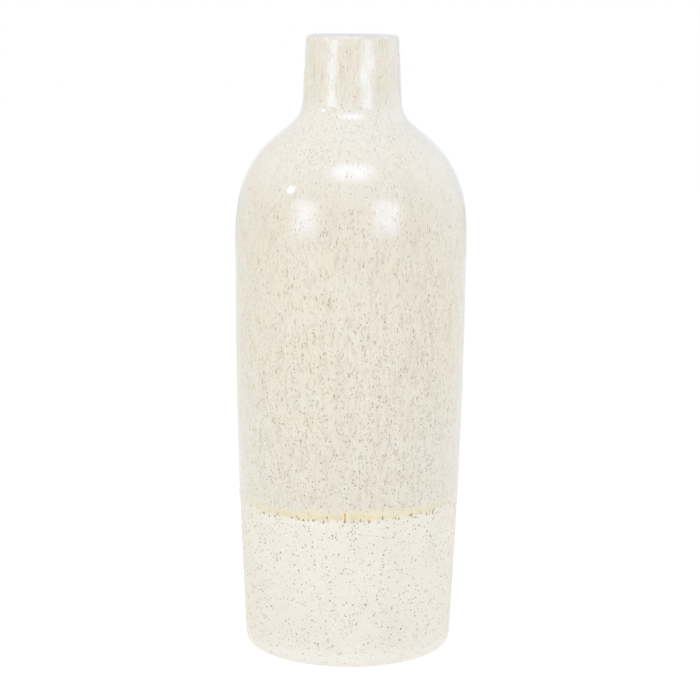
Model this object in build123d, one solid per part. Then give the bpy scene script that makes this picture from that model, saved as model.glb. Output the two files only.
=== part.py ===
from build123d import *
import os
from math import atan2, cos, degrees, radians, sin, sqrt, tan

# A slip-cast stoneware bottle vase, half dipped in a pale glaze that stops at an amber line above the foot.
# Lengths are millimetres and angles are degrees. The axis is Z, and the vase stands on Z = 0.
# Heights of the clay are measured from the underside of its foot ring, which its felt pads lift off Z = 0.

# Fired clay, outside
belly_diameter = 119.2
belly_height = 216.0
wall_draw_in = 5.8
foot_corner_radius = 4.6
shoulder_ease_radius = 105.0
shoulder_ease_angle = 11.4
shoulder_radius = 53.2
shoulder_slope = 51.2
neck_root_radius = 15.2
neck_rim_diameter = 46.9
neck_length = 40.6
neck_taper = 2.95

# Fired clay, inside and underneath
wall_thickness = 5.0
floor_thickness = 6.0
inner_corner_radius = 14.0
foot_ring_width = 11.0
foot_recess_depth = 2.5

# Glaze coats
outer_glaze_thickness = 0.4
liner_glaze_thickness = 0.4
dip_line_height = 80.3
dip_tilt = 1.1
bead_height = 4.4
bead_thickness = 0.55

# Felt pads under the foot ring
pad_count = 4
pad_thickness = 1.2
pad_edge_margin = 1.5
pad_edge_radius = 0.3

# Section edges that end this close to each other already meet.
join_tolerance = 0.0001

# Levels and radii that follow from the sizes above
foot_level = pad_thickness
recess_level = foot_level + foot_recess_depth
floor_level = recess_level + floor_thickness
belly_level = foot_level + belly_height
dip_level = foot_level + dip_line_height
belly_radius = belly_diameter / 2
lip_radius = wall_thickness / 2

# The wall is one long arc, upright at the belly and drawn in towards the foot.
wall_radius = (belly_height**2 + wall_draw_in**2) / (2 * wall_draw_in)
wall_centre = Vector(belly_radius - wall_radius, 0, belly_level)


def along(angle, distance):
    """Step in the half section, at an angle above the outward radius."""
    return Vector(distance * cos(radians(angle)), 0, distance * sin(radians(angle)))


def corner_centre(radius, level, wall_inset):
    """Centre of a corner arc that touches a flat at this level and the inset wall arc."""
    reach = wall_radius - wall_inset - radius
    drop = belly_level - level - radius
    return Vector(wall_centre.X + sqrt(reach**2 - drop**2), 0, level + radius)


def wall_angle_at(centre):
    """Angle on the wall arc where it meets the corner arc with this centre."""
    return degrees(atan2(centre.Z - wall_centre.Z, centre.X - wall_centre.X))


foot_corner = corner_centre(foot_corner_radius, foot_level, 0)
inner_corner = corner_centre(inner_corner_radius, floor_level, wall_thickness)

# The shoulder eases off the belly, turns tighter, and runs straight up to the root of the neck.
ease_centre = Vector(belly_radius - shoulder_ease_radius, 0, belly_level)
shoulder_centre = ease_centre + along(shoulder_ease_angle, shoulder_ease_radius - shoulder_radius)
shoulder_end = shoulder_centre + along(shoulder_slope, shoulder_radius)

# The straight shoulder and the neck wall would meet at this corner, which the root arc rounds off.
neck_rim_radius = neck_rim_diameter / 2
root_corner_radius = neck_rim_radius + neck_length * tan(radians(neck_taper))
straight_run = (shoulder_end.X - root_corner_radius) / sin(radians(shoulder_slope))
root_corner = shoulder_end + along(shoulder_slope + 90, straight_run)
root_setback = neck_root_radius * tan(radians(shoulder_slope - neck_taper) / 2)
root_start = root_corner + along(shoulder_slope - 90, root_setback)
root_centre = root_start + along(shoulder_slope, neck_root_radius)

# The lip is a half round over the full wall, and its crown is the top of the clay.
neck_top = root_corner + along(neck_taper + 90, neck_length / cos(radians(neck_taper)) - lip_radius)
lip_centre = neck_top - along(neck_taper, lip_radius)


def arc(centre, radius, start, end):
    """Arc in the half section, between two angles above the outward radius."""
    middle = (start + end) / 2
    return ThreePointArc(*[centre + along(angle, radius) for angle in (start, middle, end)])


def side_contour(inset, corner, corner_radius):
    """Edges of one face of the wall, from the end of its bottom corner arc up to the lip.
    The inset is the depth below the outside of the clay, and is negative for the coat that lies over it."""
    low = wall_angle_at(corner)
    arcs = [
        arc(corner, corner_radius, -90, low),
        arc(wall_centre, wall_radius - inset, low, 0),
        arc(ease_centre, shoulder_ease_radius - inset, 0, shoulder_ease_angle),
        arc(shoulder_centre, shoulder_radius - inset, shoulder_ease_angle, shoulder_slope),
        arc(root_centre, neck_root_radius + inset, shoulder_slope + 180, neck_taper + 180),
    ]
    straight_shoulder = Line(arcs[3] @ 1, arcs[4] @ 0)
    neck_wall = Line(arcs[4] @ 1, neck_top - along(neck_taper, inset))
    return [*arcs[:4], straight_shoulder, arcs[4], neck_wall]


def lip_contour(cover):
    """Arc over the lip from its outside to its inside, at this height above the clay."""
    return arc(lip_centre, lip_radius + cover, neck_taper, neck_taper + 180)


def inner_contour(cover):
    """Edges of the inside wall, this far in front of the clay, from the floor up to the lip."""
    return side_contour(wall_thickness + cover, inner_corner, inner_corner_radius - cover)


def outer_contour(cover):
    """Edges of the outside wall, this far in front of the clay, from the foot up to the lip."""
    return side_contour(-cover, foot_corner, foot_corner_radius + cover)


def on_axis(level):
    return Vector(0, 0, level)


def turned(edges):
    """Solid of revolution about the vase's axis from the edges of a closed half section."""
    return revolve(make_face(Wire(edges)), Axis.Z)


def closed_section(*runs):
    """Edges of the runs in order, with a straight edge wherever one run stops short of the next."""
    edges = []
    for run, following in zip(runs, [*runs[1:], runs[0]]):
        edges += run
        run_end = run[-1] @ 1
        next_start = following[0] @ 0
        if (next_start - run_end).length > join_tolerance:
            edges.append(Line(run_end, next_start))
    return edges


def backwards(edges):
    return [edge.reversed() for edge in reversed(edges)]


def make_stoneware_body():
    """The clay: foot ring with its recess, floor, wall, shoulder, neck and lip, in one cast piece."""
    recess_radius = foot_corner.X - foot_ring_width
    cove_centre = Vector(recess_radius - foot_recess_depth, 0, foot_level)
    cove = arc(cove_centre, foot_recess_depth, 90, 0)
    recess = Line(on_axis(recess_level), cove @ 0)
    floor = Line(inner_corner - along(90, inner_corner_radius), on_axis(floor_level))
    inside = [lip_contour(0), *backwards(inner_contour(0)), floor]
    return turned(closed_section([recess, cove], outer_contour(0), inside))


def make_outer_glaze(bead_ring):
    """The pale coat outside, from the dip line up to the lip, with a seat for the amber bead."""
    shell = turned(closed_section(outer_contour(0), backwards(outer_contour(outer_glaze_thickness))))
    dip_plane = Plane(on_axis(dip_level)).rotated((0, -dip_tilt, 0))
    return split(shell, bisect_by=dip_plane, keep=Keep.TOP) - bead_ring


def make_liner_glaze():
    """The clear coat inside, which holds the water, carried over the lip to meet the outer coat."""
    clay_face = [*inner_contour(0), lip_contour(0).reversed()]
    wet_face = [*inner_contour(liner_glaze_thickness), lip_contour(liner_glaze_thickness).reversed()]
    clay_floor = Line(on_axis(floor_level), clay_face[0] @ 0)
    wet_floor = Line(wet_face[0] @ 0, on_axis(floor_level + liner_glaze_thickness))
    return turned(closed_section([clay_floor, *clay_face], [*backwards(wet_face), wet_floor]))


def make_bead_ring():
    """The whole ring of the amber bead, half of it still inside the clay, level with the tilted dip line."""
    rise = dip_level - belly_level
    line_radius = wall_centre.X + sqrt(wall_radius**2 - rise**2)
    section = Plane.XZ * Pos(line_radius, dip_level) * Ellipse(bead_thickness, bead_height / 2)
    return revolve(section, Axis.Z).rotate(Axis(on_axis(dip_level), (0, 1, 0)), -dip_tilt)


def make_clay_form():
    """The outside form of the clay with no hollow, which trims what lies on it."""
    outside = outer_contour(0)
    top = Line(neck_top, on_axis(neck_top.Z))
    base = Line(on_axis(foot_level), outside[0] @ 0)
    return turned(closed_section(outside, [top], [base]))


def make_felt_pads():
    """Felt discs stuck to the middle of the foot ring, one after another round the axis."""
    pad_diameter = foot_ring_width - 2 * pad_edge_margin
    seat_radius = foot_corner.X - foot_ring_width / 2
    disc = extrude(Circle(pad_diameter / 2), pad_thickness)
    disc = fillet(disc.edges().sort_by(Axis.Z)[0], pad_edge_radius)
    first_angle = 180 / pad_count
    return [Rot(Z=first_angle + 360 * n / pad_count) * Pos(X=seat_radius) * disc for n in range(pad_count)]


bead_ring = make_bead_ring()
nodes = {
    "stoneware_body": make_stoneware_body(),
    "outer_glaze": make_outer_glaze(bead_ring),
    "liner_glaze": make_liner_glaze(),
    "amber_bead": bead_ring - make_clay_form(),
}
for number, pad in enumerate(make_felt_pads(), start=1):
    nodes[f"felt_pad_{number}"] = pad

os.makedirs("parts", exist_ok=True)
for name, solid in nodes.items():
    export_step(solid, f"parts/{name}.step")

overall_height = lip_centre.Z + lip_radius + liner_glaze_thickness
print(f"height {overall_height:.1f} mm, width {belly_diameter + 2 * outer_glaze_thickness:.1f} mm")
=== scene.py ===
import math
import random

import bmesh
import bpy
from mathutils import Euler, Matrix, Vector, noise


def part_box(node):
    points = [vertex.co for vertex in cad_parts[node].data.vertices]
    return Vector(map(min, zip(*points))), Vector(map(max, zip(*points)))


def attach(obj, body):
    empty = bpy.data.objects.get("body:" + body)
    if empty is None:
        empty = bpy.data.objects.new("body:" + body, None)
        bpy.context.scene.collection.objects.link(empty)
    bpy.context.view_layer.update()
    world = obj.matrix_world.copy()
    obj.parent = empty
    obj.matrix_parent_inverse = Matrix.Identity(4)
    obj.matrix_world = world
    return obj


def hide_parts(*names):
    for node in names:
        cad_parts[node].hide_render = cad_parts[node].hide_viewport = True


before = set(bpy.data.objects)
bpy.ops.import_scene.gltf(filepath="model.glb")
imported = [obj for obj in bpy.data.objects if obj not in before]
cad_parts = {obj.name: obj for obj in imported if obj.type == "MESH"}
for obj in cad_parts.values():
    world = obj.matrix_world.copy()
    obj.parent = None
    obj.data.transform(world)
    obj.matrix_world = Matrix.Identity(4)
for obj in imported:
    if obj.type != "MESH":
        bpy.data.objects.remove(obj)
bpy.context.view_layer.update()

mm = 0.001
weldGap = 0.0005                                           # points of a turned shape closer than this are one


# The form that every coat shares, in millimetres and degrees, as in the solid

form = {
    "padThickness": 1.2,
    "bellyRadius": 59.6,
    "bellyHeight": 216.0,
    "wallDrawIn": 5.8,
    "footCorner": 4.6,
    "easeRadius": 105.0,
    "easeTurn": 11.4,
    "shoulderRadius": 53.2,
    "shoulderSlope": 51.2,
    "rootRadius": 15.2,
    "rimRadius": 23.45,
    "neckLength": 40.6,
    "neckTaper": 2.95,
    "wall": 5.0,
    "floorThickness": 6.0,
    "innerCorner": 14.0,
    "footRing": 11.0,
    "footRecess": 2.5,
    "coat": 0.4,
    "dipHeight": 80.3,
    "dipTilt": 1.1,
}

footLevel = form["padThickness"]
recessLevel = footLevel + form["footRecess"]
floorLevel = recessLevel + form["floorThickness"]
bellyLevel = footLevel + form["bellyHeight"]
dipLevel = footLevel + form["dipHeight"]
lipRadius = form["wall"] / 2
dipRise = math.tan(math.radians(form["dipTilt"]))          # the dip line is higher on +X
wallRadius = (form["bellyHeight"] ** 2 + form["wallDrawIn"] ** 2) / (2 * form["wallDrawIn"])
wallCentre = form["bellyRadius"] - wallRadius


def wallRadiusAt(level):                                   # outside of the clay below the belly
    return wallCentre + math.sqrt(wallRadius ** 2 - (bellyLevel - level) ** 2)


def cornerReach(radius, level, inset):                     # distance from the axis to a corner arc's centre
    reach = wallRadius - inset - radius
    drop = bellyLevel - level - radius
    return wallCentre + math.sqrt(reach ** 2 - drop ** 2)


def cornerTurn(radius, level, inset):                      # turn from the flat to the drawn-in wall
    across = cornerReach(radius, level, inset) - wallCentre
    return 90 - math.degrees(math.atan2(bellyLevel - level - radius, across))


slope = math.radians(form["shoulderSlope"])
taper = math.radians(form["neckTaper"])
easeTurn = math.radians(form["easeTurn"])
easeCentre = form["bellyRadius"] - form["easeRadius"]
shoulderCentre = easeCentre + (form["easeRadius"] - form["shoulderRadius"]) * math.cos(easeTurn)
shoulderEnd = shoulderCentre + form["shoulderRadius"] * math.cos(slope)
rootCorner = form["rimRadius"] + form["neckLength"] * math.tan(taper)
rootSetback = form["rootRadius"] * math.tan((slope - taper) / 2)
shoulderRun = (shoulderEnd - rootCorner) / math.sin(slope) - rootSetback
neckRun = form["neckLength"] / math.cos(taper) - lipRadius - rootSetback
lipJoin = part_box("outer_glaze")[1].z / mm                  # the outer glaze meets the liner at this level
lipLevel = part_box("stoneware_body")[1].z / mm - lipRadius
neckTop = form["rimRadius"] + lipRadius * (1 - math.sin(taper)) * math.tan(taper)   # where the lip begins
footReach = cornerReach(form["footCorner"], footLevel, 0)
innerReach = cornerReach(form["innerCorner"], floorLevel, form["wall"])


# A profile is a list of runs, each a length and the turn that it makes, left turns positive

def bend(radius, turn):
    return (radius * math.radians(abs(turn)), turn)


def straight(length):
    return (length, 0)


def sharp(turn):
    return (0, turn)


def wallRuns(cover, corner, turn):                         # from a bottom corner up to the lip
    return [
        bend(corner, turn),
        bend(wallRadius + cover, 90 - turn),
        bend(form["easeRadius"] + cover, form["easeTurn"]),
        bend(form["shoulderRadius"] + cover, form["shoulderSlope"] - form["easeTurn"]),
        straight(shoulderRun),
        bend(form["rootRadius"] - cover, form["neckTaper"] - form["shoulderSlope"]),
        straight(neckRun),
    ]


def outsideRuns(cover):
    turn = cornerTurn(form["footCorner"], footLevel, 0)
    return wallRuns(cover, form["footCorner"] + cover, turn)


def insideRuns(cover):                                     # from the lip down to the floor
    turn = cornerTurn(form["innerCorner"], floorLevel, form["wall"])
    runs = wallRuns(-form["wall"] - cover, form["innerCorner"] - cover, turn)
    return [(length, -back) for length, back in reversed(runs)]


def trace(bm, start, heading, runs, spacing, finestTurn=8):
    tip = bm.verts.new((start[0] * mm, 0, start[1] * mm))
    for length, turn in runs:
        steps = max(1, math.ceil(length / spacing), math.ceil(abs(turn) / finestTurn))
        if not length:
            heading += turn
        elif turn:
            radius = length * mm / math.radians(abs(turn))
            side = math.radians(heading + math.copysign(90, turn))
            centre = tip.co + radius * Vector((math.cos(side), 0, math.sin(side)))
            swung = bmesh.ops.spin(bm, geom=[tip], cent=centre, axis=(0, -1, 0),
                                   angle=math.radians(turn), steps=steps)
            tip = swung["geom_last"][0]
            heading += turn
        else:
            ahead = math.radians(heading)
            step = length * mm / steps * Vector((math.cos(ahead), 0, math.sin(ahead)))
            for _ in range(steps):
                tip = bmesh.ops.extrude_vert_indiv(bm, verts=[tip])["verts"][0]
                bmesh.ops.translate(bm, verts=[tip], vec=step)
    return tip


def turnOnWheel(bm, segments):
    bmesh.ops.spin(bm, geom=bm.verts[:] + bm.edges[:], cent=(0, 0, 0), axis=(0, 0, 1),
                   angle=math.tau, steps=segments, use_merge=True)
    bmesh.ops.remove_doubles(bm, verts=bm.verts, dist=weldGap * mm)
    bmesh.ops.recalc_face_normals(bm, faces=bm.faces)


def settle(bm, name, material, node, crease=35): # a finished bmesh becomes a piece of the vase
    for face in bm.faces:
        face.smooth = True
    for edge in bm.edges:
        if edge.is_manifold and edge.calc_face_angle() > math.radians(crease):
            edge.smooth = False
    mesh = bpy.data.meshes.new(name)
    bm.to_mesh(mesh)
    bm.free()
    mesh.materials.append(material)
    piece = bpy.data.objects.new(name, mesh)
    bpy.context.scene.collection.objects.link(piece)
    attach(piece, "root")
    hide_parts(node)
    print("made", name, len(mesh.polygons), "faces")
    return piece


# Shader maths: a wired socket can be added, subtracted, multiplied and compared

class Wired:
    def __init__(self, finish, socket):
        self.finish = finish
        self.socket = socket

    def sum(self, operation, first, second):
        return self.finish.node("ShaderNodeMath", {"operation": operation}, {0: first, 1: second})

    def __add__(self, other):
        return self.sum("ADD", self, other)

    def __radd__(self, other):
        return self.sum("ADD", other, self)

    def __sub__(self, other):
        return self.sum("SUBTRACT", self, other)

    def __rsub__(self, other):
        return self.sum("SUBTRACT", other, self)

    def __mul__(self, other):
        return self.sum("MULTIPLY", self, other)

    def __rmul__(self, other):
        return self.sum("MULTIPLY", other, self)

    def __lt__(self, other):
        return self.sum("LESS_THAN", self, other)


speckVariety = {"smallest": 0.4, "faintest": 0.45, "core": 0.5}   # shares of a speck's radius and strength


class Finish:
    def __init__(self, name, kind="materials"):
        self.block = getattr(bpy.data, kind).new(name)
        self.block.use_nodes = True
        self.tree = self.block.node_tree
        self.tree.nodes.clear()

    def node(self, kind, settings=None, sockets=None, output=0):
        made = self.tree.nodes.new(kind)
        for key, value in (settings or {}).items():
            setattr(made, key, value)
        for key, value in (sockets or {}).items():
            if isinstance(value, Wired):
                self.tree.links.new(value.socket, made.inputs[key])
            else:
                made.inputs[key].default_value = value
        return Wired(self, made.outputs[output]) if made.outputs else None

    def place(self):                                       # Object coordinates in millimetres
        here = self.node("ShaderNodeTexCoord", output="Object")
        return self.scaled(here, (1 / mm, 1 / mm, 1 / mm))

    def vector(self, operation, *values):
        return self.node("ShaderNodeVectorMath", {"operation": operation}, dict(enumerate(values)))

    def scaled(self, vector, by):
        return self.vector("MULTIPLY", vector, by)

    def axis(self, vector, name):
        return self.node("ShaderNodeSeparateXYZ", None, {"Vector": vector}, name)

    def grain(self, vector, size, stretch=1, detail=2):    # noise of this size, drawn out along Z
        cells = self.scaled(vector, (1 / size, 1 / size, 1 / (size * stretch)))
        return self.node("ShaderNodeTexNoise", None, {"Vector": cells, "Scale": 1, "Detail": detail}, "Fac")

    def warped(self, vector, size, push):                  # the same place, pushed about by noise
        cells = self.scaled(vector, (1 / size, 1 / size, 1 / size))
        drift = self.node("ShaderNodeTexNoise", None, {"Vector": cells, "Scale": 1, "Detail": 1}, "Color")
        centred = self.vector("SUBTRACT", drift, (0.5, 0.5, 0.5))
        return self.vector("MULTIPLY_ADD", centred, (push, push, push), vector)

    def ragged(self, vector, warps):                       # pushed about by one noise after another
        for size, push in warps:
            vector = self.warped(vector, size, push)
        return vector

    def between(self, value, low, high, lowValue=0, highValue=1):
        return self.node("ShaderNodeMapRange", {"interpolation_type": "SMOOTHSTEP"}, {
            "Value": value, "From Min": low, "From Max": high, "To Min": lowValue, "To Max": highValue})

    def cloud(self, vector, look):                         # noise, as a share of the range that counts
        patches = self.grain(vector, look["size"], look.get("stretch", 1), look.get("detail", 2))
        return self.between(patches, *look["range"])

    def wander(self, vector, look):                        # noise, as the millimetres that it moves an edge
        stray = self.grain(vector, look["size"], look.get("stretch", 1), look.get("detail", 2))
        return stray * look["reach"] - look["back"]

    def specks(self, vector, cell, radius, share, stretch=1):
        cells = self.scaled(vector, (1 / cell, 1 / cell, 1 / (cell * stretch)))
        away = self.node("ShaderNodeTexVoronoi", None, {"Vector": cells, "Scale": 1}, "Distance")
        lot = self.node("ShaderNodeTexVoronoi", None, {"Vector": cells, "Scale": 1}, "Color")
        least, faint = speckVariety["smallest"], speckVariety["faintest"]
        size = (self.axis(lot, "X") * (1 - least) + least) * (radius / cell)
        strength = (self.axis(lot, "Z") * (1 - faint) + faint) * (self.axis(lot, "Y") < share)
        return self.between(away, size * speckVariety["core"], size, 1, 0) * strength

    def scatter(self, vector, look, crowd=1):              # specks of one kind, more where they crowd
        share = crowd * look["share"]
        marks = self.specks(vector, look["cell"], look["radius"], share, look.get("stretch", 1))
        return marks * look.get("strength", 1)

    def blend(self, share, first, second):
        return self.node("ShaderNodeMix", {"data_type": "RGBA"}, {0: share, 6: first, 7: second}, 2)

    def bump(self, height, depth):
        return self.node("ShaderNodeBump", None, {"Height": height, "Distance": depth * mm}, "Normal")

    def surface(self, sockets):
        shader = self.node("ShaderNodeBsdfPrincipled", None, sockets)
        self.node("ShaderNodeOutputMaterial", None, {"Surface": shader})
        return self.block


def tint(red, green, blue):                                # a screen colour as the linear one of shaders
    parts = [part / 255 for part in (red, green, blue)]
    return [part / 12.92 if part < 0.04045 else ((part + 0.055) / 1.055) ** 2.4 for part in parts] + [1]


# Bare stoneware

clayLook = {
    "cream": tint(244, 239, 226),
    "shade": tint(241, 236, 222),
    "iron": tint(111, 92, 66),
    "paleIron": tint(179, 164, 138),
    "grog": tint(255, 253, 248),
    "roughness": 0.72,
    "warps": ((0.9, 0.7), (0.4, 0.3)),                     # sizes and pushes that make specks ragged
    "drift": {"size": 16, "detail": 3, "range": (0.3, 0.7)},
    "clumps": {"size": 5, "detail": 3, "range": (0.38, 0.58, 0.2, 1)},
    "grogSpecks": {"cell": 1.4, "radius": 0.62, "share": 0.5},
    "paleSpecks": {"cell": 1.2, "radius": 0.5, "share": 0.8, "strength": 0.9},
    "ironSpecks": {"cell": 1.5, "radius": 0.6, "share": 0.58},
    "paintedFloorBounce": (15, 2, 0, 0.5),                            # painted bounce light from the floor: the foot is made paler between these heights
    "grit": {"size": 0.5, "detail": 3},
    "gritDepth": 0.05,
    "ironPit": 0.6,                                        # depth of an iron speck against the grit's
}


def stonewareFinish():
    look = clayLook
    clay = Finish("bareStoneware")
    here = clay.place()
    ragged = clay.ragged(here, look["warps"])
    clumps = clay.cloud(here, look["clumps"])
    iron = clay.scatter(ragged, look["ironSpecks"], clumps)
    colour = clay.blend(clay.cloud(here, look["drift"]), look["shade"], look["cream"])
    colour = clay.blend(clay.scatter(ragged, look["grogSpecks"]), colour, look["grog"])
    colour = clay.blend(clay.scatter(ragged, look["paleSpecks"], clumps), colour, look["paleIron"])
    colour = clay.blend(iron, colour, look["iron"])
    # Painted bounce light: the clay is lightened towards the foot, as if lit by the white floor below
    paintedFloorBounce = clay.between(clay.axis(here, "Z"), *look["paintedFloorBounce"])
    colour = clay.blend(paintedFloorBounce, colour, look["grog"])
    relief = clay.grain(here, **look["grit"]) - iron * look["ironPit"]
    return clay.surface({"Base Color": colour, "Roughness": look["roughness"],
                         "Normal": clay.bump(relief, look["gritDepth"])})


# Pale glaze outside, and the amber bead where it stops

glazeLook = {
    "cream": tint(236, 228, 210),
    "pink": tint(233, 224, 208),
    "cool": tint(235, 233, 221),
    # white is a painted sheen: the shoulder's reflection of the room, put into the colour
    "white": tint(245, 241, 230),
    "dash": tint(180, 158, 126),
    "fineDash": tint(200, 187, 161),
    "dot": tint(153, 135, 107),
    "crystal": tint(249, 246, 239),
    # glintWhite is the colour of painted glints along the lip
    "glintWhite": tint(255, 253, 249),
    "rust": tint(190, 140, 88),
    "amber": tint(242, 233, 199),
    "ochre": tint(220, 203, 156),
    "thin": tint(244, 239, 225),
    "khaki": tint(178, 159, 106),
    "iron": tint(112, 96, 58),
    "orange": tint(222, 170, 104),
    "lip": tint(236, 232, 228),
    "roughness": 0.08,
    "refraction": 1.52,
    "unrolledRadius": 55,                                  # streaks keep their width at this radius
    "warps": ((1.1, 0.9), (0.4, 0.3)),                     # sizes and pushes that make specks ragged
    "streakWarps": ((3.2, 2.2),),
}

# Where a mark comes in or dies out: by height, by height above the dip line, by facing front or back
glazeZones = {
    "shoulder": (228, 276),
    "shoulderTop": (294, 278),
    "neck": (280, 292),
    "streak": (262, 206, 0.06, 0.48),
    "broadStreak": (240, 200, 0.04, 0.2),
    "dash": (274, 210, 0.2),
    "highDot": (250, 270),
    "sag": (286, 300, 0.15, 0.95),
    "coolAboveDip": (95, 15),
    "dashAboveDip": (-5, 60, 0.3),
    "dotAboveDip": (120, 20, 0.07, 1.37),
    "amberAboveDip": (4.8, 0),
    "hazeAboveDip": (2.6, -0.2),
    "thinAboveDip": (-0.2, -2, 0, 0.9),
    # these two paint a cool reflection on the sides: near the dip line, and at every height
    "lowSideReflectionFacing": (0.97, 0.65, 0.15, 0.45),
    "sideReflectionFacing": (0.65, 0.25, 0, 0.45),
    "calmFacing": (0.25, 0.85, 0.48, 1),
    "richFacing": (0.5, 0.92, 0.35, 1),
    "lipEdge": (-0.4, 0.4, 0, 0.8),                        # these two are measured from the join at the lip
    "lipFlecks": (-2.6, -1.2),
    "khakiStain": (0.05, 0.45),                            # and these by the strength of the bead's stain
    "orangeStain": (0.1, 0.6),
    "ironStain": (0.45, 0.95),
}

# Noise by size, stretch and detail, with the range that counts, or with how far it moves an edge
glazeClouds = {
    "pink": {"size": 9, "stretch": 1.8, "range": (0.42, 0.64, 0, 0.8)},
    "cool": {"size": 8, "stretch": 1.3, "detail": 1, "range": (0.52, 0.78, 0, 0.5)},
    "darkMottle": {"size": 1.25, "stretch": 1.7, "detail": 3, "range": (0.52, 0.74, 0, 0.4)},
    "paleMottle": {"size": 1.25, "stretch": 1.7, "detail": 3, "range": (0.46, 0.28, 0, 0.8)},
    "streak": {"size": 1.1, "stretch": 7, "detail": 3, "range": (0.5, 0.75)},
    "neckStreak": {"size": 2.3, "stretch": 3.2, "detail": 3, "range": (0.5, 0.72, 0, 0.42)},
    "broadStreak": {"size": 2.4, "stretch": 4.5, "range": (0.52, 0.7)},
    "clumps": {"size": 6, "stretch": 1.6, "range": (0.34, 0.6)},
    "patches": {"size": 5, "stretch": 1.3, "detail": 3, "range": (0.4, 0.58)},
    "rich": {"size": 7, "range": (0.3, 0.7, 0.65, 1.1)},
    "haze": {"size": 5, "detail": 3, "range": (0.44, 0.68, 0, 0.65)},
    "wear": {"size": 0.7, "range": (0.25, 0.5, 0.4, 1)},
    "lipDrift": {"size": 2.6, "stretch": 0.8, "detail": 3, "reach": 4, "back": 3},
    "dipSway": {"size": 11, "reach": 4, "back": 2},
    "dipRags": {"size": 1.6, "detail": 3, "reach": 4, "back": 2},
    "sag": {"size": 6.5, "stretch": 1.5, "detail": 1, "reach": 1, "back": 0.5},
    "peel": {"size": 2.6, "stretch": 1.5, "detail": 1},
}

glazeSpecks = {
    "fine": {"cell": 0.85, "radius": 0.38, "stretch": 4.4, "share": 0.5, "strength": 0.9},
    "dashes": {"cell": 1.2, "radius": 0.5, "stretch": 4.6, "share": 0.5, "strength": 0.82},
    "crystals": {"cell": 1.3, "radius": 0.48, "share": 0.9},
    "dots": {"cell": 1.06, "radius": 0.45, "stretch": 1.45, "share": 1},
    "rust": {"cell": 5, "radius": 0.7, "stretch": 1.6, "share": 0.3, "strength": 0.7},
    "darkFlecks": {"cell": 1.4, "radius": 0.5, "share": 0.3, "strength": 0.8},
    "paintedGlints": {"cell": 1.1, "radius": 0.6, "share": 0.5},
}

glazeShares = {
    "shoulderSheen": 0.85,
    "whiteNeck": 0.22,
    "neckStreak": 0.26,
    "neckCrystalLoss": 0.75,
    "neckDotLoss": 0.8,
    "highDotLoss": 0.38,
    "patchyDots": 1.05,
    "evenDots": 0.1,
    "hazeSway": 0.5,
    "peelDepth": 0.03,
    "crystalDepth": 0.03,
    "depth": 0.6,                                          # millimetres of relief that the bump stands for
}


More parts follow.
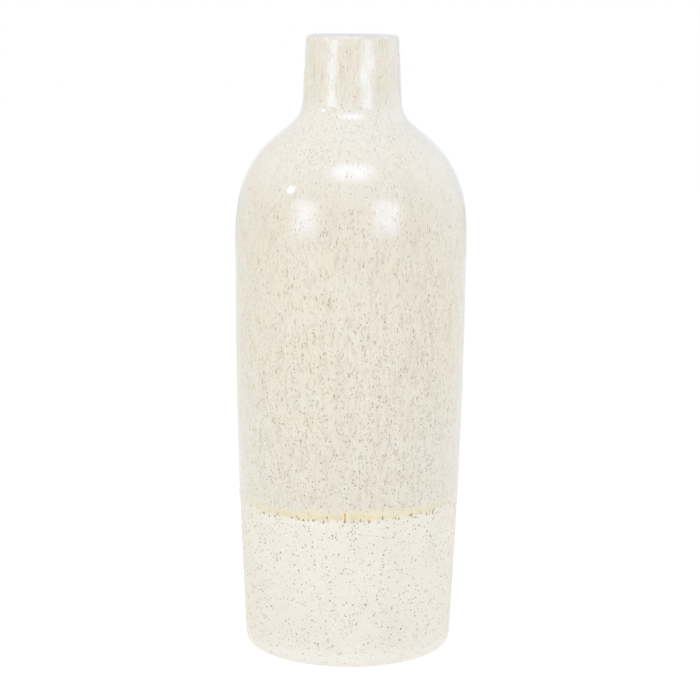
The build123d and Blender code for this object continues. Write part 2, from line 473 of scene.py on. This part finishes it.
def glazeFinish(name):
    look, zones, clouds, specks, shares = glazeLook, glazeZones, glazeClouds, glazeSpecks, glazeShares
    glaze = Finish(name)
    here = glaze.place()
    height = glaze.axis(here, "Z")
    outward = glaze.vector("NORMALIZE", glaze.scaled(here, (1, 1, 0)))
    reach = look["unrolledRadius"]
    runs = glaze.vector("MULTIPLY_ADD", outward, (reach, reach, 0), glaze.scaled(here, (0, 0, 1)))
    aboveDip = height - dipLevel - glaze.axis(here, "X") * dipRise
    facing = glaze.node("ShaderNodeMath", {"operation": "ABSOLUTE"}, {0: glaze.axis(outward, "Y")})
    ragged = glaze.ragged(here, look["warps"])
    wavy = glaze.ragged(runs, look["streakWarps"])
    onShoulder = glaze.between(height, *zones["shoulder"]) * glaze.between(height, *zones["shoulderTop"])
    onNeck = glaze.between(height, *zones["neck"])
    calm = glaze.between(facing, *zones["calmFacing"])
    clumps = glaze.cloud(here, clouds["clumps"])
    patches = glaze.cloud(here, clouds["patches"])

    # Body of the glaze
    colour = glaze.blend(glaze.cloud(here, clouds["pink"]), look["cream"], look["pink"])
    # Painted reflection: the glaze is tinted cool towards the sides and near the dip line, where it mirrors
    # the cool room; the cool cloud is the glaze's own random tone
    nearDip = glaze.between(aboveDip, *zones["coolAboveDip"])
    lowSideReflection = nearDip * glaze.between(facing, *zones["lowSideReflectionFacing"])
    cool = glaze.cloud(here, clouds["cool"]) + lowSideReflection + glaze.between(facing, *zones["sideReflectionFacing"])
    colour = glaze.blend(cool, colour, look["cool"])
    # Painted reflection: the shoulder is whitened where it mirrors the room, and the neck is made a little
    # paler with the same colour
    paintedSheenAndPaleNeck = onShoulder * shares["shoulderSheen"] + onNeck * shares["whiteNeck"]
    colour = glaze.blend(paintedSheenAndPaleNeck, colour, look["white"])
    colour = glaze.blend(glaze.cloud(wavy, clouds["darkMottle"]) * onShoulder, colour, look["fineDash"])
    colour = glaze.blend(glaze.cloud(wavy, clouds["paleMottle"]) * onShoulder, colour, look["crystal"])

    # Streaks
    streaky = glaze.between(height, *zones["streak"]) + onNeck * shares["neckStreak"]
    colour = glaze.blend(glaze.cloud(wavy, clouds["streak"]) * streaky * calm, colour, look["fineDash"])
    colour = glaze.blend(glaze.cloud(wavy, clouds["neckStreak"]) * onNeck, colour, look["fineDash"])
    broad = glaze.cloud(wavy, clouds["broadStreak"]) * glaze.between(height, *zones["broadStreak"])
    colour = glaze.blend(broad, colour, look["fineDash"])

    # Dashes and specks
    onBody = glaze.between(height, *zones["dash"]) * glaze.between(aboveDip, *zones["dashAboveDip"]) * calm
    fine = glaze.scatter(wavy, specks["fine"], clumps + 1)
    colour = glaze.blend(fine * onBody, colour, look["fineDash"])
    dashes = glaze.scatter(wavy, specks["dashes"], clumps + patches)
    colour = glaze.blend(dashes * onBody, colour, look["dash"])
    crystals = glaze.scatter(ragged, specks["crystals"], clumps)
    colour = glaze.blend(crystals * (1 - onNeck * shares["neckCrystalLoss"]), colour, look["crystal"])
    high = glaze.between(height, *zones["highDot"])
    crowd = (glaze.between(aboveDip, *zones["dotAboveDip"]) + high) * (1 - onNeck * shares["neckDotLoss"])
    crowd = crowd * (patches * shares["patchyDots"] + shares["evenDots"])
    dots = glaze.scatter(ragged, specks["dots"], crowd)
    colour = glaze.blend(dots * calm * (1 - high * shares["highDotLoss"]), colour, look["dot"])
    colour = glaze.blend(glaze.scatter(ragged, specks["rust"]), colour, look["rust"])

    # Edge at the lip
    aboveJoin = height + glaze.wander(here, clouds["lipDrift"]) - lipJoin
    colour = glaze.blend(glaze.between(aboveJoin, *zones["lipEdge"]), colour, look["lip"])
    # The pale flecks along the lip are painted glints of the overhead light; the dark flecks are real specks
    flecked = glaze.between(aboveJoin, *zones["lipFlecks"])
    colour = glaze.blend(glaze.scatter(here, specks["darkFlecks"]) * flecked, colour, look["dash"])
    colour = glaze.blend(glaze.scatter(ragged, specks["paintedGlints"]) * flecked, colour, look["glintWhite"])

    # Amber at the dip line, and the bead's stains
    sway = glaze.wander(runs, clouds["dipSway"])
    rich = glaze.between(facing, *zones["richFacing"]) * glaze.cloud(runs, clouds["rich"])
    amber = glaze.between(aboveDip + sway, *zones["amberAboveDip"])
    colour = glaze.blend(amber * rich, colour, look["amber"])
    haze = glaze.between(aboveDip + sway * shares["hazeSway"], *zones["hazeAboveDip"])
    colour = glaze.blend(haze * glaze.cloud(runs, clouds["haze"]) * rich, colour, look["ochre"])
    thin = glaze.between(aboveDip + glaze.wander(here, clouds["dipRags"]), *zones["thinAboveDip"])
    colour = glaze.blend(thin, colour, look["thin"])
    wear = glaze.cloud(here, clouds["wear"])
    iron = glaze.node("ShaderNodeAttribute", {"attribute_name": "iron"}, None, "Fac") * wear
    rust = glaze.node("ShaderNodeAttribute", {"attribute_name": "rust"}, None, "Fac") * wear
    colour = glaze.blend(glaze.between(iron, *zones["khakiStain"]), colour, look["khaki"])
    colour = glaze.blend(glaze.between(rust, *zones["orangeStain"]), colour, look["orange"])
    colour = glaze.blend(glaze.between(iron, *zones["ironStain"]), colour, look["iron"])

    # Relief
    sag = glaze.wander(here, clouds["sag"]) * glaze.between(height, *zones["sag"])
    peel = glaze.grain(here, **clouds["peel"])
    relief = sag + peel * shares["peelDepth"] + crystals * shares["crystalDepth"]
    return glaze.surface({"Base Color": colour, "Roughness": look["roughness"], "IOR": look["refraction"],
                          "Normal": glaze.bump(relief, shares["depth"])})


# Off-white glaze inside and over the lip

linerLook = {
    "white": tint(235, 231, 227),
    "grey": tint(228, 225, 221),
    "roughness": 0.12,
    "refraction": 1.52,
    "drift": {"size": 9, "stretch": 2},
    "outside": (lipRadius, 1),                             # the lip's outside begins this far inside the rim
    "overlap": (0.4, -0.4, 0, 0.8),                        # heights from the join where the outer glaze shows
    "flecks": (1.6, 0.4),
    "fleckWarps": ((1.1, 0.9),),
    "darkFlecks": {"cell": 1.5, "radius": 0.6, "share": 0.4, "strength": 0.7},
    "paintedGlints": {"cell": 1.4, "radius": 0.75, "share": 0.6},
    "peel": {"size": 2.6, "stretch": 1.5, "detail": 1},
    "peelDepth": 0.012,
}


def linerFinish():
    look = linerLook
    liner = Finish("linerGlaze")
    here = liner.place()
    colour = liner.blend(liner.grain(here, **look["drift"]), look["grey"], look["white"])
    flat = liner.scaled(here, (1, 1, 0))
    reach = liner.node("ShaderNodeVectorMath", {"operation": "LENGTH"}, {0: flat}, "Value")
    outside = liner.between(reach, *[form["rimRadius"] - inset for inset in look["outside"]])
    aboveJoin = liner.axis(here, "Z") + liner.wander(here, glazeClouds["lipDrift"]) - lipJoin
    overlap = liner.between(aboveJoin, *look["overlap"]) * outside
    colour = liner.blend(overlap, colour, glazeLook["cream"])
    # The pale flecks here are painted glints of the overhead light on the lip; the dark flecks are real
    # specks
    flecked = liner.between(aboveJoin, *look["flecks"]) * outside
    ragged = liner.ragged(here, look["fleckWarps"])
    colour = liner.blend(liner.scatter(here, look["darkFlecks"]) * flecked, colour, glazeLook["dash"])
    colour = liner.blend(liner.scatter(ragged, look["paintedGlints"]) * flecked, colour, glazeLook["glintWhite"])
    return liner.surface({"Base Color": colour, "Roughness": look["roughness"], "IOR": look["refraction"],
                          "Normal": liner.bump(liner.grain(here, **look["peel"]), look["peelDepth"])})


# Felt

feltLook = {
    "wool": tint(186, 180, 170),
    "shade": tint(150, 144, 134),
    "roughness": 0.95,
    "sheen": 0.4,
    "fibre": {"size": 0.35, "stretch": 0.4, "detail": 4},
    "fibreRange": (0.35, 0.65),
    "fibreDepth": 0.12,
}


def feltFinish():
    look = feltLook
    felt = Finish("pressedFelt")
    fibre = felt.grain(felt.place(), **look["fibre"])
    colour = felt.blend(felt.between(fibre, *look["fibreRange"]), look["shade"], look["wool"])
    return felt.surface({"Base Color": colour, "Roughness": look["roughness"], "Sheen Weight": look["sheen"],
                         "Normal": felt.bump(fibre, look["fibreDepth"])})


# Clay body

clayMesh = {"spacing": 2.2, "segments": 160, "ringEdge": 0.5}


def makeClayBody():
    recessRadius = footReach - form["footRing"]
    runs = [
        straight(recessRadius - form["footRecess"]),
        bend(form["footRecess"] - clayMesh["ringEdge"], -90),
        bend(clayMesh["ringEdge"], 90),
        straight(form["footRing"]),
        *outsideRuns(0),
        bend(lipRadius, 180),
        *insideRuns(0),
        straight(innerReach),
    ]
    bm = bmesh.new()
    end = trace(bm, (0, recessLevel), 0, runs, clayMesh["spacing"])
    end.co.x = 0
    turnOnWheel(bm, clayMesh["segments"])
    return settle(bm, "clayBody", stonewareFinish(), "stoneware_body")


# Outer glaze, a sheet that is cut above the bead and given its thickness

glazeMesh = {
    "spacing": 1.7,
    "segments": 208,
    "waveDepth": 0.18,
    "waveSize": 10,
    "waveStretch": 1.7,
    "calmBelow": 10,                                       # the ripple dies out this far above the dip line
    "finestTurn": 3,                                       # degrees of an arc between two points
}


def lump(spot):                                            # noise from 0 to 1
    return 0.5 + 0.5 * noise.noise(spot)


def ripple(bm):                                            # runs of thick and thin glaze, inside the coat
    wave = glazeMesh
    bm.normal_update()
    moves = []
    for vert in bm.verts:
        spot = Vector((vert.co.x, vert.co.y, vert.co.z / wave["waveStretch"])) / (wave["waveSize"] * mm)
        calm = min(1, (vert.co.z / mm - dipLevel) / wave["calmBelow"])
        moves.append(lump(spot) * max(0, calm) * wave["waveDepth"] * mm * vert.normal)
    for vert, move in zip(bm.verts, moves):
        vert.co -= move


def makeOuterGlaze():
    coat = form["coat"]
    bm = bmesh.new()
    trace(bm, (footReach, footLevel - coat), 0, outsideRuns(coat), glazeMesh["spacing"],
          glazeMesh["finestTurn"])
    turnOnWheel(bm, glazeMesh["segments"])
    everything = bm.verts[:] + bm.edges[:] + bm.faces[:]
    bmesh.ops.bisect_plane(bm, geom=everything, plane_co=(0, 0, dipLevel * mm), plane_no=(-dipRise, 0, 1),
                           clear_inner=True)
    ripple(bm)
    bmesh.ops.solidify(bm, geom=bm.faces[:], thickness=coat * mm)
    return settle(bm, "outerGlaze", glazeFinish("paleGlaze"), "outer_glaze")


# Liner glaze, over the lip and down to the floor

linerMesh = {"spacing": 2.2, "segments": 144}


def makeLinerGlaze():
    coat = form["coat"]
    bm = bmesh.new()
    start = (neckTop + coat * math.cos(taper), lipLevel + (lipRadius + coat) * math.sin(taper))
    runs = [bend(lipRadius + coat, 180), *insideRuns(coat), straight(innerReach)]
    end = trace(bm, start, 90 + form["neckTaper"], runs, linerMesh["spacing"])
    end.co.x = 0
    turnOnWheel(bm, linerMesh["segments"])
    bmesh.ops.solidify(bm, geom=bm.faces[:], thickness=coat * mm)
    return settle(bm, "linerGlaze", linerFinish(), "liner_glaze")


# Amber bead with its runs and drops

beadMesh = {
    "below": 1.7,                                          # millimetres of bead below and above the dip line
    "above": 2.6,
    "edge": 0.12,                                          # thickness where it dies out on the clay
    "swell": 0.1,                                          # how far it stands proud of the glaze
    "segments": 1200,
    "spacing": 0.35,
    "finestTurn": 15,
    "runsFrom": 2.2,                                       # runs begin this far above the bottom of the bead
    "seed": 20,
    "runCount": 170,
    "markHeight": 0.72,                                    # half height of the iron mark that a run carries
    "dropCount": 110,
    "sag": 0.5,                                            # the lower edge hangs this far, and waves about it
    "slowWave": {"push": 0.5, "turns": 9},
    "fastWave": {"push": 0.7, "turns": 34},
    "runSpread": 3,                                        # a run counts within this many of its widths
    "ironUpward": 0.5,                                     # strength of the stain above its mark
    "rustUpward": 1,
}
# Ranges that the other runs are drawn from, or the most of a value and the power that makes it rare
runLook = {
    "rusty": 0.07,
    "least": 0.1,
    "reach": (0.9, 3),
    "width": (0.25, 0.6),
    "iron": (0.65, 1.4),
    "rust": (0.2, 0.6),
    "streak": (0.8, 8),
    "lift": (1.7, 1.6),
}
# Runs that stand out at the front, by the names in runValues
runValues = ("angle", "reach", "width", "iron", "rust", "streak", "lift")
frontRuns = [
    (-48.9, 0.1, 0.6, 0.6, 0, 0, 0.2),
    (-45, 0.9, 0.55, 0.8, 0, 0, 0),
    (-40.8, 0.7, 0.65, 0.75, 0, 0, 0.1),
    (-38.7, 0.1, 0.55, 0.55, 0.25, 0, 1),
    (-30, 0.1, 0.8, 0.5, 0, 0, 0.4),
    (-26, 0.2, 0.6, 0.55, 0, 0, 0.5),
    (-23.4, 0.5, 0.55, 0.8, 0, 0, 0.1),
    (-20.6, 0.6, 0.4, 0.6, 0, 0.2, 0.3),
    (-16.7, 0.1, 0.45, 0.35, 0.35, 0, 0.6),
    (-12.9, 1.3, 0.5, 0.5, 0, 0, 0.2),
    (-10.8, 0.1, 0.4, 0.6, 0, 0, 1.8),
    (-1.8, 0.4, 0.5, 0.85, 0.8, 0.75, 0.1),
    (6, 0.4, 0.6, 0.4, 0.9, 0.1, 0.5),
    (7.6, 0.6, 0.3, 0.7, 0, 0, 0),
    (10.2, 0.5, 0.5, 0.35, 0.8, 0.1, 0.4),
    (15.1, 1.6, 0.3, 0.5, 0.5, 0, 0),
    (17.3, 0.1, 0.4, 0.8, 0, 0, 1.2),
    (32.9, 0.1, 1.3, 0.4, 0, 0, 1),
    (43.6, 0.2, 0.5, 0.5, 0, 0, 0.5),
    (48.9, 0, 0.4, 0.5, 0, 0.3, 1.2),
    (54.8, 0, 0.4, 0.65, 0, 0.6, 1),
]


def rare(dice, most, power):
    return most * dice.random() ** power


def beadRuns():
    dice = random.Random(beadMesh["seed"])
    look = runLook
    runs = [dict(zip(runValues, run)) for run in frontRuns]
    for _ in range(beadMesh["runCount"]):
        rusty = dice.random() < look["rusty"]
        runs.append({
            "angle": dice.uniform(-180, 180),
            "reach": look["least"] + rare(dice, *look["reach"]),
            "width": dice.uniform(*look["width"]),
            "iron": rare(dice, *look["iron"]),
            "rust": dice.uniform(*look["rust"]) if rusty else 0,
            "streak": rare(dice, *look["streak"]),
            "lift": rare(dice, *look["lift"]),
        })
    return runs


def runsAt(angle, runs):                                   # pull on the lower edge, and the runs here
    reach = wallRadiusAt(dipLevel)
    around = Vector((math.sin(math.radians(angle)), math.cos(math.radians(angle)), 0))
    pull = beadMesh["sag"]
    for wave in (beadMesh["slowWave"], beadMesh["fastWave"]):
        pull += wave["push"] * noise.noise(around * wave["turns"])
    near = []
    for run in runs:
        aside = math.radians((angle - run["angle"] + 180) % 360 - 180) * reach / run["width"]
        if abs(aside) < beadMesh["runSpread"]:
            near.append((run, math.exp(-aside * aside)))
            pull += run["reach"] * near[-1][1]
    return pull, near


def stainAt(near, kind, level, upward):                    # level above the bottom of the bead
    stain = 0
    for run, share in near:
        mark = math.exp(-((level - run["lift"]) / beadMesh["markHeight"]) ** 2)
        above = run["streak"] * upward if level > run["lift"] else 0
        stain += run[kind] * share * max(mark, above)
    return stain


def easedBy(shift, rise):                                  # an S that moves the profile inwards
    turn = 2 * math.degrees(math.atan(shift / rise))
    radius = rise / (2 * math.sin(math.radians(abs(turn))))
    return [bend(radius, turn), bend(radius, -turn)]


def makeAmberBead():
    bead = beadMesh
    coat = form["coat"]
    lean = math.degrees(math.asin((bellyLevel - dipLevel) / wallRadius))
    bottom = dipLevel - bead["below"]
    section = [
        bend(bead["edge"], 90 - lean),
        *easedBy(bead["edge"] - coat - bead["swell"], bead["below"] - bead["edge"]),
        *easedBy(bead["swell"], bead["above"]),
        sharp(90),
        straight(coat),
    ]
    bm = bmesh.new()
    trace(bm, (wallRadiusAt(bottom), bottom), 0, section, bead["spacing"], bead["finestTurn"])
    ends = [vert for vert in bm.verts if len(vert.link_edges) == 1]
    bmesh.ops.contextual_create(bm, geom=ends)
    turnOnWheel(bm, bead["segments"])
    iron = bm.verts.layers.float.new("iron")
    rust = bm.verts.layers.float.new("rust")
    turn = 360 / bead["segments"]
    runs = beadRuns()
    columns = [runsAt(step * turn, runs) for step in range(bead["segments"])]
    for vert in bm.verts:
        angle = math.degrees(math.atan2(vert.co.x, -vert.co.y))
        pull, near = columns[round(angle / turn) % bead["segments"]]
        level = vert.co.z / mm - bottom
        vert[iron] = stainAt(near, "iron", level, bead["ironUpward"])
        vert[rust] = stainAt(near, "rust", level, bead["rustUpward"])
        low = 1 - level / bead["runsFrom"]
        if low > 0:
            drop = pull * mm * low * low * (3 - 2 * low)
            inward = Vector((-vert.co.x, -vert.co.y, 0)).normalized() * math.tan(math.radians(lean))
            vert.co += drop * (inward - Vector((0, 0, 1)))
    spatter(bm, (iron, rust), bottom)
    bmesh.ops.rotate(bm, verts=bm.verts[:], cent=(0, 0, dipLevel * mm),
                     matrix=Matrix.Rotation(-math.radians(form["dipTilt"]), 3, "Y"))
    return settle(bm, "amberBead", glazeFinish("amberGlaze"), "amber_bead")


dropLook = {
    "nearest": 0.6,                                        # millimetres below the bead
    "spread": (3.4, 2),                                    # how much further, and how rarely
    "radius": (0.15, 0.36),
    "stretch": (1, 1.6),
    "height": 0.12,
    "iron": (0.2, 0.8),
    "rust": (0, 0, 0, 0.5),                                # one drop in four is rusty
}


def spatter(bm, stains, bottom):                           # flat drops thrown on to the clay below the bead
    dice = random.Random(beadMesh["seed"] + 1)
    for _ in range(beadMesh["dropCount"]):
        angle = math.radians(dice.uniform(-180, 180))
        level = bottom - dropLook["nearest"] - rare(dice, *dropLook["spread"])
        size = dice.uniform(*dropLook["radius"]) * mm
        away = Vector((math.sin(angle), -math.cos(angle), 0))
        spot = Matrix.Translation(away * wallRadiusAt(level) * mm + Vector((0, 0, level * mm)))
        facing = away.to_track_quat("Z", "Y").to_matrix().to_4x4()
        flat = Matrix.Diagonal((size, size * dice.uniform(*dropLook["stretch"]), dropLook["height"] * mm, 1))
        drop = bmesh.ops.create_icosphere(bm, subdivisions=2, radius=1, matrix=spot @ facing @ flat)
        strength = [dice.uniform(*dropLook["iron"]), dice.choice(dropLook["rust"])]
        for vert in drop["verts"]:
            for stain, share in zip(stains, strength):
                vert[stain] = share


# Felt pads, pressed discs with a soft cut edge

padMesh = {
    "edge": 0.3,
    "topEdge": 0.12,
    "spacing": 0.35,
    "finestTurn": 30,
    "segments": 72,
    "fuzz": 0.06,                                          # share of the radius that tufts stand back by
    "tuft": 0.5,                                           # millimetres from tuft to tuft
    "fuzzFall": 4,                                         # power that keeps the fuzz at the edge
}


def makeFeltPads(felt):
    for name in sorted(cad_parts):
        if not name.startswith("felt_pad"):
            continue
        low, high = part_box(name)
        radius = (high.x - low.x) / 2 / mm
        thickness = (high.z - low.z) / mm
        bm = bmesh.new()
        runs = [
            straight(radius - padMesh["edge"]),
            bend(padMesh["edge"], 90),
            straight(thickness - padMesh["edge"] - padMesh["topEdge"]),
            bend(padMesh["topEdge"], 90),
            straight(radius - padMesh["topEdge"]),
        ]
        end = trace(bm, (0, 0), 0, runs, padMesh["spacing"], padMesh["finestTurn"])
        end.co.x = 0
        turnOnWheel(bm, padMesh["segments"])
        for vert in bm.verts:
            away = vert.co.to_2d().length / (radius * mm)
            tuft = lump((vert.co + low) / (padMesh["tuft"] * mm))
            vert.co.xy *= 1 - padMesh["fuzz"] * tuft * away ** padMesh["fuzzFall"]
        seat = ((low.x + high.x) / 2, (low.y + high.y) / 2, low.z)
        bmesh.ops.translate(bm, verts=bm.verts[:], vec=seat)
        pad = settle(bm, "feltDisc" + name[-1], felt, name)


makeClayBody()
makeOuterGlaze()
makeLinerGlaze()
makeAmberBead()
makeFeltPads(feltFinish())


# Floor and light

studio = {
    "floorHalf": 6,                                        # metres from the vase to the end of the floor
    "floorWhite": 0.97,
    "floorGlow": 1.06,
    "shadowShare": 0.12,                                   # how much of the floor's light takes the shadow
    "mirrorShare": 0.2,                                    # how much of the floor's white the glaze mirrors
    "openBelow": 0.01,                                     # light this close passes up through the floor
    "horizon": (-0.1, 0),                                  # directions between which the room changes
    "frontToBack": (-0.75, 0.35),
    "leftToRight": (-0.6, 0.6),
    "roomFront": 0.41,
    "roomBack": 0.79,
    "roomBelow": 0.92,
    "roomColour": (1.02, 1, 0.96, 1),
    "mirrorLeft": (0.97, 1, 1.01, 1),                      # the room's sides as the glaze mirrors them
    "mirrorRight": (0.93, 1, 1.14, 1),
    "backdrop": (0.9, 0.97),                               # the white behind the vase fades in here
}


def seenDirectly(look):
    return look.node("ShaderNodeLightPath", output="Is Camera Ray")


def seenMirrored(look):
    path = "ShaderNodeLightPath"
    return look.node(path, output="Is Glossy Ray") + look.node(path, output="Is Transmission Ray")


def makeFloor():
    bm = bmesh.new()
    bmesh.ops.create_grid(bm, x_segments=1, y_segments=1, size=studio["floorHalf"])
    mesh = bpy.data.meshes.new("floor")
    bm.to_mesh(mesh)
    bm.free()
    look = Finish("whiteFloor")
    white = studio["floorWhite"]
    lit = look.node("ShaderNodeBsdfDiffuse", None, {"Color": (white, white, white, 1)})
    glow = look.node("ShaderNodeEmission", None, {"Color": (1, 1, 1, 1), "Strength": studio["floorGlow"]})
    share = seenDirectly(look) * (1 - studio["shadowShare"]) + seenMirrored(look) * studio["mirrorShare"]
    mixed = look.node("ShaderNodeMixShader", None, {0: share, 1: lit, 2: glow})
    beneath = look.node("ShaderNodeNewGeometry", output="Backfacing")
    clear = look.node("ShaderNodeBsdfTransparent")
    close = look.node("ShaderNodeLightPath", output="Ray Length") < studio["openBelow"]
    oneSided = look.node("ShaderNodeMixShader", None, {0: beneath + close, 1: mixed, 2: clear})
    look.node("ShaderNodeOutputMaterial", None, {"Surface": oneSided})
    mesh.materials.append(look.block)
    floor = bpy.data.objects.new("floor", mesh)
    bpy.context.scene.collection.objects.link(floor)
    print("laid the floor")


def makeRoom():
    room = Finish("studioRoom", "worlds")
    direction = room.node("ShaderNodeTexCoord", output="Generated")
    towards = room.axis(direction, "Y")
    above = room.between(room.axis(direction, "Z"), *studio["horizon"])
    around = room.between(towards, *studio["frontToBack"], studio["roomFront"], studio["roomBack"])
    level = above * around + (1 - above) * studio["roomBelow"]
    soft = room.node("ShaderNodeBackground", None, {"Color": studio["roomColour"], "Strength": level})
    direct = seenDirectly(room)
    dimming = (1 - direct) * room.between(towards, *studio["backdrop"], 1, 0) * (1 - level)
    side = room.between(room.axis(direction, "X"), *studio["leftToRight"])
    mirrored = room.blend(side, studio["mirrorLeft"], studio["mirrorRight"])
    colour = room.blend(direct, mirrored, (1, 1, 1, 1))
    white = room.node("ShaderNodeBackground", None, {"Color": colour, "Strength": 1 - dimming})
    mixed = room.node("ShaderNodeMixShader", None, {0: direct + seenMirrored(room), 1: soft, 2: white})
    room.node("ShaderNodeOutputWorld", None, {"Surface": mixed})
    bpy.context.scene.world = room.block
    print("lit the room")


# Softboxes with feathered edges, by degrees round from the camera, degrees up, and half angles across
softboxes = {
    "leftSoftbox": {
        "azimuth": -47.5, "elevation": 8.5, "across": 18.2, "tall": 15.3,
        "radiance": 3.02, "core": 0.22,
    },
    "rightSoftbox": {
        "azimuth": 35.5, "elevation": 10.5, "across": 20, "tall": 15.3,
        "radiance": 3.22, "core": 0.22, "colour": (0.95, 1, 1.15, 1),
    },
    "overheadSoftbox": {
        "azimuth": 0, "elevation": 55, "across": 27, "tall": 15.5,
        "radiance": 3.55, "core": 0.2,
    },
    "keyLamp": {
        "azimuth": -69.5, "elevation": 26, "across": 3.8, "tall": 3.0,
        "radiance": 19, "core": 0.85,
    },
    "backFill": {
        "azimuth": 180, "elevation": 20, "across": 45, "tall": 40,
        "radiance": 0.5, "core": 0.3, "mirrored": False,
    },
    "rightWall": {
        "azimuth": 105, "elevation": 15, "across": 40, "tall": 40,
        "radiance": 0.29, "core": 0.3, "colour": (0.88, 1, 1.14, 1),
    },
}
lightRing = {"distance": 1.5, "aim": Vector((0, 0, 0.25)), "colour": (0.96, 1, 1.08, 1),
             "mirrorColour": (0.86, 1.1, 1.6, 1)}


def makeSoftbox(name, box):
    halfWidth = lightRing["distance"] * math.tan(math.radians(box["across"]))
    halfHeight = lightRing["distance"] * math.tan(math.radians(box["tall"]))
    bm = bmesh.new()
    bmesh.ops.create_grid(bm, x_segments=1, y_segments=1, size=1)
    bmesh.ops.scale(bm, verts=bm.verts[:], vec=(halfWidth, halfHeight, 1))
    mesh = bpy.data.meshes.new(name)
    bm.to_mesh(mesh)
    bm.free()
    look = Finish(name)
    here = look.node("ShaderNodeTexCoord", output="Object")
    feather = 1
    for axis, half in (("X", halfWidth), ("Y", halfHeight)):
        aside = look.node("ShaderNodeMath", {"operation": "ABSOLUTE"}, {0: look.axis(here, axis)})
        feather = look.between(aside, half * box["core"], half, 1, 0) * feather
    clear = look.node("ShaderNodeBsdfTransparent")
    mirrored = look.node("ShaderNodeLightPath", output="Is Glossy Ray")
    lit = box.get("colour", lightRing["colour"])
    colour = look.blend(mirrored, lit, lightRing["mirrorColour"])
    faded = look.blend(feather, (0, 0, 0, 1), colour)
    bright = look.node("ShaderNodeEmission", None, {"Color": faded, "Strength": box["radiance"]})
    both = look.node("ShaderNodeAddShader", None, {0: clear, 1: bright})
    look.node("ShaderNodeOutputMaterial", None, {"Surface": both})
    mesh.materials.append(look.block)
    panel = bpy.data.objects.new(name, mesh)
    azimuth = math.radians(box["azimuth"])
    elevation = math.radians(box["elevation"])
    away = Vector((math.sin(azimuth) * math.cos(elevation), -math.cos(azimuth) * math.cos(elevation),
                   math.sin(elevation)))
    panel.location = lightRing["aim"] + away * lightRing["distance"]
    panel.rotation_euler = away.to_track_quat("Z", "Y").to_euler()
    panel.visible_camera = False
    panel.visible_glossy = box.get("mirrored", True)
    bpy.context.scene.collection.objects.link(panel)
    print("hung", name)


makeFloor()
makeRoom()
for name, box in softboxes.items():
    makeSoftbox(name, box)


# Camera at the photograph's place

cameraView = {"back": 1040.6, "up": 333.2, "pitch": 9.67, "roll": 0.49, "lens": 103.8, "sensor": 36}


def makeCamera():
    lens = bpy.data.cameras.new("camera")
    lens.lens = cameraView["lens"]
    lens.sensor_width = cameraView["sensor"]
    camera = bpy.data.objects.new("camera", lens)
    camera.location = (0, -cameraView["back"] * mm, (cameraView["up"] + footLevel) * mm)
    level = Euler((math.radians(90 - cameraView["pitch"]), 0, 0)).to_matrix()
    camera.rotation_euler = (level @ Matrix.Rotation(math.radians(cameraView["roll"]), 3, "Z")).to_euler()
    bpy.context.scene.collection.objects.link(camera)
    bpy.context.scene.camera = camera
    print("set the camera")


makeCamera()
bpy.context.scene.view_settings.view_transform = "Standard"
